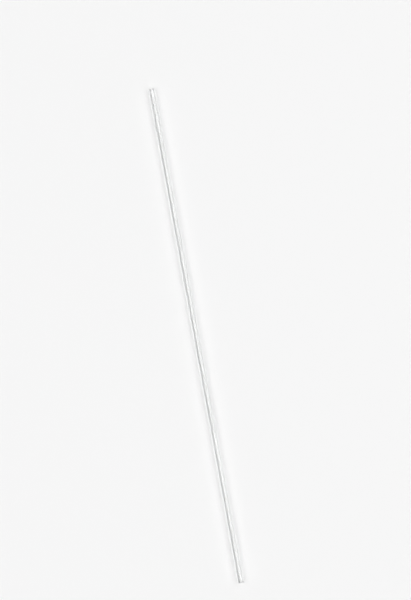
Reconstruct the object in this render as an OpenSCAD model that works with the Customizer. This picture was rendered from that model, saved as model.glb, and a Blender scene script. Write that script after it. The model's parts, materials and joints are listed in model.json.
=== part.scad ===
// Glass capillary tube: a drawn, thick-walled glass tube with a hair-fine bore that holds a set
// volume of liquid from one open end to the other. It lies on its side along X, with the lowest
// line of its outside on z = 0 and the middle of that line at the origin. Millimetres.

/* [Tube] */
// Length from end face to end face
tube_l = 64; // [50:1:80]
// Outside diameter
tube_d = 0.70; // [0.50:0.05:1.20]
// Volume that fills the bore from end to end, in cubic millimetres, which are microlitres
fill_volume = 1; // [0.5:0.1:2]

/* [Ends] */
// Radius of the melted outer edge of each end face
rim_r = 0.05; // [0.02:0.01:0.08]
// Radius of the melted edge of the bore's mouth at each end
mouth_r = 0.02; // [0.01:0.005:0.03]

/* [Hidden] */
$fn = 96;

outer_r = tube_d / 2;
// The bore is the cylinder of the tube's own length that holds the fill volume
bore_r = sqrt(fill_volume / (PI * tube_l));
clear_glass = [0.86, 0.93, 0.92, 0.45];

// One rounded corner of the section: a disc that touches both walls beside the corner
module rounded_corner(radius, x, y) {
    translate([x, y]) circle(r = radius);
}

// Upper half of the wall's half section, with the tube's axis on x = 0 and its middle on y = 0.
// Each corner disc fills the corner that the three blocks leave open.
module half_wall_section() {
    half_l = tube_l / 2;
    rim_x = outer_r - rim_r;
    mouth_x = bore_r + mouth_r;
    // the whole wall, up to where the deeper rounding starts
    translate([bore_r, 0]) square([outer_r - bore_r, half_l - max(rim_r, mouth_r)]);
    // the wall between the two roundings, up to the end face
    translate([mouth_x, 0]) square([rim_x - mouth_x, half_l]);
    // the bore's side, up to where the mouth's rounding starts
    translate([bore_r, 0]) square([mouth_r, half_l - mouth_r]);
    rounded_corner(rim_r, rim_x, half_l - rim_r);
    rounded_corner(mouth_r, mouth_x, half_l - mouth_r);
}

// The tube is one turned wall, open from end to end
module capillary_tube() {
    color(clear_glass)
        translate([0, 0, outer_r])
            rotate([0, 90, 0])
                rotate_extrude() {
                    half_wall_section();
                    mirror([0, 1]) half_wall_section();
                }
}

capillary_tube();
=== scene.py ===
import json
from math import atan2, cos, hypot, pi, radians, sin, tan

import bpy
import numpy as np
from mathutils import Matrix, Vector


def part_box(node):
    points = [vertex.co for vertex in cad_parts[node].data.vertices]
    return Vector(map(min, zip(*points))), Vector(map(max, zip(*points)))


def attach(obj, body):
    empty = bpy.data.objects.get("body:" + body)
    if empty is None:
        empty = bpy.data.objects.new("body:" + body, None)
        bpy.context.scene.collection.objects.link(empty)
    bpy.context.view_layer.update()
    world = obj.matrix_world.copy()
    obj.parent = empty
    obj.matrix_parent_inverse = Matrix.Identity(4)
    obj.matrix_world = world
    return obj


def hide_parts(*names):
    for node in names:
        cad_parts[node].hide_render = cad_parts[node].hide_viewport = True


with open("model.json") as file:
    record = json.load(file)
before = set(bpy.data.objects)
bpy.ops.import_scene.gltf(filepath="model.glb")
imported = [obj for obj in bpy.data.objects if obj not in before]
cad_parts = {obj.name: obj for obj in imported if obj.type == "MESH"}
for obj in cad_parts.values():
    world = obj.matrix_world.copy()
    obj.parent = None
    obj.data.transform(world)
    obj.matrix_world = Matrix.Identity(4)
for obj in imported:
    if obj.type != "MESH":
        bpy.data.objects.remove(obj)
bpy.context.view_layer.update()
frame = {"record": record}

scene = bpy.context.scene

# ---- The tube ---------------------------------------------------------------------------------
# One length of thick-walled borosilicate glass, drawn down from a cane with the hole already in
# it, so the outside and the bore shrink together and fine lines run along the draw. It is cut
# square, and a flame has melted the sharp edges of both ends round.

MM = 0.001
low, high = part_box("capillary_tube")
round_sizes = {mount["name"]: mount["dims"] for mount in frame["record"]["mounts"]}
TUBE_L = high.x - low.x
OUTER_R = round_sizes["outside"]["r_mm"] * MM
BORE_R = round_sizes["bore"]["r_mm"] * MM
# the straight walls stop short of the end faces by the radius of the melted edges
RIM_R = (TUBE_L - round_sizes["outside"]["length_mm"] * MM) / 2
MOUTH_R = (TUBE_L - round_sizes["bore"]["length_mm"] * MM) / 2
# faces round the tube, rings along each wall, and steps in each rounding and down each end face
SIDES = 128
WALL_STATIONS = 65
ARC_STEPS = 12
FACE_STEPS = 6

GLASS_TINT = (0.992, 0.998, 0.996, 1)
GLASS_IOR = 1.473
DRAW_LINE_WIDTH = 0.09 * MM
DRAW_LINE_LENGTH = 14 * MM
DRAW_LINE_HEIGHT = 0.004 * MM
DRAW_LINE_DETAIL = 2.0
# a rub mark starts where its noise passes the first value and is full at the second
RUB_FROM, RUB_TO = 0.6, 0.8
RUB_WIDTH = 0.03 * MM
RUB_LENGTH = 1.6 * MM
RUB_DETAIL = 3.0
RUB_ROUGHNESS = 0.1
# how far in from an end face the cut's grain starts, and where it is full
CUT_FROM, CUT_FULL = 0.3 * RIM_R, 0.05 * RIM_R
CUT_GRAIN = 0.03 * MM
CUT_HEIGHT = 0.002 * MM
CUT_DETAIL = 4.0
CUT_ROUGHNESS = 0.16


def quarter_arc(centre_x, centre_r, radius, start):
    """Points of a quarter circle in the plane of x along the tube and r from its axis: the centre
    plus radius times (cos a, sin a), with a falling by 90 degrees from start."""
    a = radians(start) - np.linspace(0, pi / 2, ARC_STEPS + 1)
    return np.stack([centre_x + radius * np.cos(a), centre_r + radius * np.sin(a)], axis=1)


def turned_wall(length, outer_r, bore_r, rim_r, mouth_r):
    """Closed outline of the wall, carried round the tube's axis: a point (x, r) of the outline
    goes to (x, r cos t, r sin t) for t from 0 to a full turn. The outline is the outside from end
    to end, a quarter arc over each rim, the flat faces, a quarter arc into each mouth, and the
    bore back again. Returns the vertices and the four-sided faces."""
    half = length / 2
    along = np.linspace(-1, 1, WALL_STATIONS)
    outside = np.stack([along * (half - rim_r), np.full(WALL_STATIONS, outer_r)], axis=1)
    bore = np.stack([-along * (half - mouth_r), np.full(WALL_STATIONS, bore_r)], axis=1)
    down = np.linspace(outer_r - rim_r, bore_r + mouth_r, FACE_STEPS + 1)
    face = np.stack([np.full(FACE_STEPS + 1, half), down], axis=1)
    outline = np.concatenate([
        outside[:-1],
        quarter_arc(half - rim_r, outer_r - rim_r, rim_r, 90)[:-1],
        face[:-1],
        quarter_arc(half - mouth_r, bore_r + mouth_r, mouth_r, 0)[:-1],
        bore[:-1],
        quarter_arc(mouth_r - half, bore_r + mouth_r, mouth_r, 270)[:-1],
        (face * (-1, 1))[::-1][:-1],
        quarter_arc(rim_r - half, outer_r - rim_r, rim_r, 180)[:-1],
    ])
    turn = np.linspace(0, 2 * pi, SIDES, endpoint=False)
    x = np.repeat(outline[:, :1], SIDES, axis=1)
    y = outline[:, 1:] * np.cos(turn)
    z = outline[:, 1:] * np.sin(turn)
    ring, side = np.meshgrid(np.arange(len(outline)), np.arange(SIDES), indexing="ij")
    next_ring, next_side = (ring + 1) % len(outline), (side + 1) % SIDES
    corners = [(ring, side), (ring, next_side), (next_ring, next_side), (next_ring, side)]
    faces = np.stack([r * SIDES + s for r, s in corners], axis=-1)
    return np.stack([x, y, z], axis=-1).reshape(-1, 3), faces.reshape(-1, 4)


def add_node(tree, kind, inputs, **settings):
    """Add a shader node. Each input, by name or number, takes a plain value or the output socket
    that feeds it, and each setting is one of the node's own."""
    made = tree.nodes.new("ShaderNode" + kind)
    for name, value in settings.items():
        setattr(made, name, value)
    for key, value in inputs.items():
        if isinstance(value, bpy.types.NodeSocket):
            tree.links.new(value, made.inputs[key])
        else:
            made.inputs[key].default_value = value
    return made


def grain_noise(tree, place, size, detail):
    """Noise whose grains have a given size along x, y and z: the place is divided by that size,
    axis by axis, and read in noise with grains of one unit. Returns the noise's value."""
    scale = [1 / length for length in size]
    scaled = add_node(tree, "Mapping", {"Vector": place, "Scale": scale}).outputs[0]
    noise = add_node(tree, "TexNoise", {"Vector": scaled, "Scale": 1.0, "Detail": detail})
    return noise.outputs[0]


vertices, faces = turned_wall(TUBE_L, OUTER_R, BORE_R, RIM_R, MOUTH_R)
# it lies along x, with its lowest line on the table
vertices += (0, 0, OUTER_R)
tube_mesh = bpy.data.meshes.new("glass_tube")
tube_mesh.from_pydata(vertices.tolist(), [], faces.tolist())
tube_mesh.shade_smooth()
tube = bpy.data.objects.new("glass_tube", tube_mesh)
scene.collection.objects.link(tube)

glass = bpy.data.materials.new("drawn_glass")
glass.use_nodes = True
tree = glass.node_tree
place = add_node(tree, "TexCoord", {}).outputs["Object"]

# draw lines: ripples that run along the tube
draw_line_size = (DRAW_LINE_LENGTH, DRAW_LINE_WIDTH, DRAW_LINE_WIDTH)
draw_lines = grain_noise(tree, place, draw_line_size, DRAW_LINE_DETAIL)
draw_bump = add_node(tree, "Bump", {"Height": draw_lines, "Distance": DRAW_LINE_HEIGHT})

# rub marks: short dull streaks where tubes have slid along each other in their box
rub_marks = add_node(tree, "MapRange", {
    "Value": grain_noise(tree, place, (RUB_LENGTH, RUB_WIDTH, RUB_WIDTH), RUB_DETAIL),
    "From Min": RUB_FROM,
    "From Max": RUB_TO,
    "To Max": RUB_ROUGHNESS,
})

# cut ends: a fine satin grain on the flat faces, clear again where the flame melted the edges
parts = add_node(tree, "SeparateXYZ", {"Vector": place})
from_middle = add_node(tree, "Math", {0: parts.outputs["X"]}, operation="ABSOLUTE")
on_the_cut = add_node(tree, "MapRange", {
    "Value": from_middle.outputs[0],
    "From Min": TUBE_L / 2 - CUT_FROM,
    "From Max": TUBE_L / 2 - CUT_FULL,
}, interpolation_type="SMOOTHSTEP")
cut_bump = add_node(tree, "Bump", {
    "Height": grain_noise(tree, place, (CUT_GRAIN, CUT_GRAIN, CUT_GRAIN), CUT_DETAIL),
    "Strength": on_the_cut.outputs[0],
    "Distance": CUT_HEIGHT,
    "Normal": draw_bump.outputs["Normal"],
})
cut_dullness = add_node(tree, "Math", {
    0: on_the_cut.outputs[0],
    1: CUT_ROUGHNESS,
}, operation="MULTIPLY")
dullness = add_node(tree, "Math", {
    0: cut_dullness.outputs[0],
    1: rub_marks.outputs[0],
}, operation="MAXIMUM")

shader = tree.nodes["Principled BSDF"]
shader.inputs["Base Color"].default_value = GLASS_TINT
shader.inputs["Transmission Weight"].default_value = 1.0
shader.inputs["IOR"].default_value = GLASS_IOR
tree.links.new(dullness.outputs[0], shader.inputs["Roughness"])
tree.links.new(cut_bump.outputs["Normal"], shader.inputs["Normal"])
tube_mesh.materials.append(glass)

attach(tube, "root")
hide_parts("capillary_tube")

# ---- The table --------------------------------------------------------------------------------
# A wide round sheet of pale matt board that the tube lies on. Far from the tube it runs out into
# the white of the room, so that no edge shows from low down.

BOARD_R = 6.0
BOARD_SIDES = 96
BOARD_COLOUR = (0.93, 0.93, 0.93, 1)
WHITE = (1, 1, 1, 1)
# distances from the tube's middle
FADE_FROM, FADE_TO = 0.06, 0.5

round_board = np.linspace(0, 2 * pi, BOARD_SIDES, endpoint=False)
edge = BOARD_R * np.stack([np.cos(round_board), np.sin(round_board), 0 * round_board], axis=1)
board_mesh = bpy.data.meshes.new("board")
board_mesh.from_pydata(edge.tolist(), [], [list(range(BOARD_SIDES))])
board = bpy.data.objects.new("board", board_mesh)
scene.collection.objects.link(board)

matt_board = bpy.data.materials.new("matt_board")
matt_board.use_nodes = True
tree = matt_board.node_tree
shader = tree.nodes["Principled BSDF"]
shader.inputs["Base Color"].default_value = BOARD_COLOUR
shader.inputs["Roughness"].default_value = 1.0
shader.inputs["Specular IOR Level"].default_value = 0.0
place = add_node(tree, "TexCoord", {}).outputs["Object"]
reach = add_node(tree, "VectorMath", {0: place}, operation="LENGTH")
fade = add_node(tree, "MapRange", {
    "Value": reach.outputs["Value"],
    "From Min": FADE_FROM,
    "From Max": FADE_TO,
}, interpolation_type="SMOOTHSTEP")
path = add_node(tree, "LightPath", {}).outputs
mirrored = add_node(tree, "Math", {
    0: path["Is Camera Ray"],
    1: path["Is Glossy Ray"],
}, operation="ADD", use_clamp=True)
looked_at = add_node(tree, "Math", {
    0: mirrored.outputs[0],
    1: path["Is Transmission Ray"],
}, operation="ADD", use_clamp=True)
share = add_node(tree, "Math", {0: looked_at.outputs[0], 1: fade.outputs[0]}, operation="MULTIPLY")
white = add_node(tree, "Emission", {"Color": WHITE, "Strength": 1.0})
blend = add_node(tree, "MixShader", {0: share.outputs[0], 1: shader.outputs[0], 2: white.outputs[0]})
tree.links.new(blend.outputs[0], tree.nodes["Material Output"].inputs["Surface"])
board_mesh.materials.append(matt_board)

# ---- The light --------------------------------------------------------------------------------
# Two soft lamps hang over the table, parallel to the tube, a broad one on the left of the picture
# and a narrower, stronger one on its right. The camera looks down through the gap between them,
# and the room is nearly dark overhead and white round the horizon.

# the room's strength up to LOW_TO and from HIGH_FROM, in degrees above the horizon
ROOM_LOW = 1.0
ROOM_HIGH = 0.06
LOW_TO = 6
HIGH_FROM = 14
# each lamp's distance from the tube and its length, then for each the height of its middle and
# the angle that it spans, in degrees as the tube sees them, and how bright it is
LAMP_D = 1.0
LAMP_L = 1.2
LEFT_EL = 56.5
LEFT_SPREAD = 53
LEFT_LEVEL = 2.08
RIGHT_EL = 48
RIGHT_SPREAD = 44
RIGHT_LEVEL = 2.55
# enough for light that runs along inside the wall from one end to the other
BOUNCES = 96

world = bpy.data.worlds.new("studio")
scene.world = world
world.use_nodes = True
tree = world.node_tree
way = add_node(tree, "TexCoord", {}).outputs["Generated"]
parts = add_node(tree, "SeparateXYZ", {"Vector": way})
room = add_node(tree, "MapRange", {
    "Value": parts.outputs["Z"],
    "From Min": sin(radians(LOW_TO)),
    "From Max": sin(radians(HIGH_FROM)),
    "To Min": ROOM_LOW,
    "To Max": ROOM_HIGH,
}, interpolation_type="SMOOTHSTEP")
background = tree.nodes["Background"]
background.inputs["Color"].default_value = WHITE
tree.links.new(room.outputs[0], background.inputs["Strength"])

for name, side, elevation, spread, level in (
    ("left_lamp", 1, LEFT_EL, LEFT_SPREAD, LEFT_LEVEL),
    ("right_lamp", -1, RIGHT_EL, RIGHT_SPREAD, RIGHT_LEVEL),
):
    lamp_data = bpy.data.lights.new(name, "AREA")
    lamp_data.shape = "RECTANGLE"
    lamp_data.size = LAMP_L
    lamp_data.size_y = 2 * LAMP_D * tan(radians(spread / 2))
    lamp_data.energy = level * pi * lamp_data.size * lamp_data.size_y
    lamp = bpy.data.objects.new(name, lamp_data)
    scene.collection.objects.link(lamp)
    lamp.location = (0, side * LAMP_D * cos(radians(elevation)), LAMP_D * sin(radians(elevation)))
    lamp.rotation_euler = (side * radians(elevation - 90), 0, 0)

# light that the glass bends on to the board keeps its sharp lines
scene.cycles.blur_glossy = 0.0
scene.cycles.max_bounces = BOUNCES
scene.cycles.glossy_bounces = BOUNCES
scene.cycles.transmission_bounces = BOUNCES

# ---- The camera -------------------------------------------------------------------------------
# It looks straight down on the lying tube, turned so that the tube stands nearly upright in the
# picture, with its ends at these places in a frame of 411 by 600.

FRAME_W, FRAME_H = 411, 600
TOP_PX = (151.7, 89.3)
FOOT_PX = (241.2, 582.3)
LENS, SENSOR = 100.0, 36.0
CLIP_START = 0.001

run_px = (TOP_PX[0] - FOOT_PX[0], FOOT_PX[1] - TOP_PX[1])
pixel = TUBE_L / hypot(*run_px)
turn = -atan2(run_px[1], run_px[0])
right = Vector((cos(turn), sin(turn), 0))
up = Vector((-sin(turn), cos(turn), 0))
off_right = ((TOP_PX[0] + FOOT_PX[0]) / 2 - FRAME_W / 2) * pixel
off_up = (FRAME_H / 2 - (TOP_PX[1] + FOOT_PX[1]) / 2) * pixel
distance = FRAME_H * pixel * LENS / SENSOR
camera_data = bpy.data.cameras.new("camera")
camera_data.lens = LENS
camera_data.sensor_width = SENSOR
camera_data.clip_start = CLIP_START
camera = bpy.data.objects.new("camera", camera_data)
scene.collection.objects.link(camera)
camera.location = Vector((0, 0, OUTER_R + distance)) - right * off_right - up * off_up
camera.rotation_euler = (0, 0, turn)
scene.camera = camera

scene.view_settings.view_transform = "Standard"
